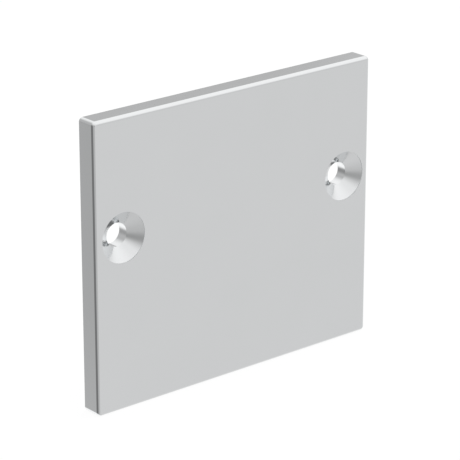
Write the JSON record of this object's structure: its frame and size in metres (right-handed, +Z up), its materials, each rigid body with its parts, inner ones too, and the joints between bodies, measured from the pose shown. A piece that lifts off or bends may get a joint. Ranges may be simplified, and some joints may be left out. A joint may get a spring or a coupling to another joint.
{
  "type": "channel end cap",
  "caption": "Flat aluminium plate with rounded front edges and countersunk screw holes, which closes the end of a channel.",
  "frame": {"origin": "middle of the bottom of the plate, halfway between its front and back faces", "axes": "+X across the plate, +Y from the front face to the back face that lies against the channel, +Z up"},
  "size_m": [0.08, 0.0052, 0.0682],
  "materials": {
    "aluminium": "satin"
  },
  "bodies": {
    "root": {"end_cap": "aluminium"}
  },
  "joints": []
}
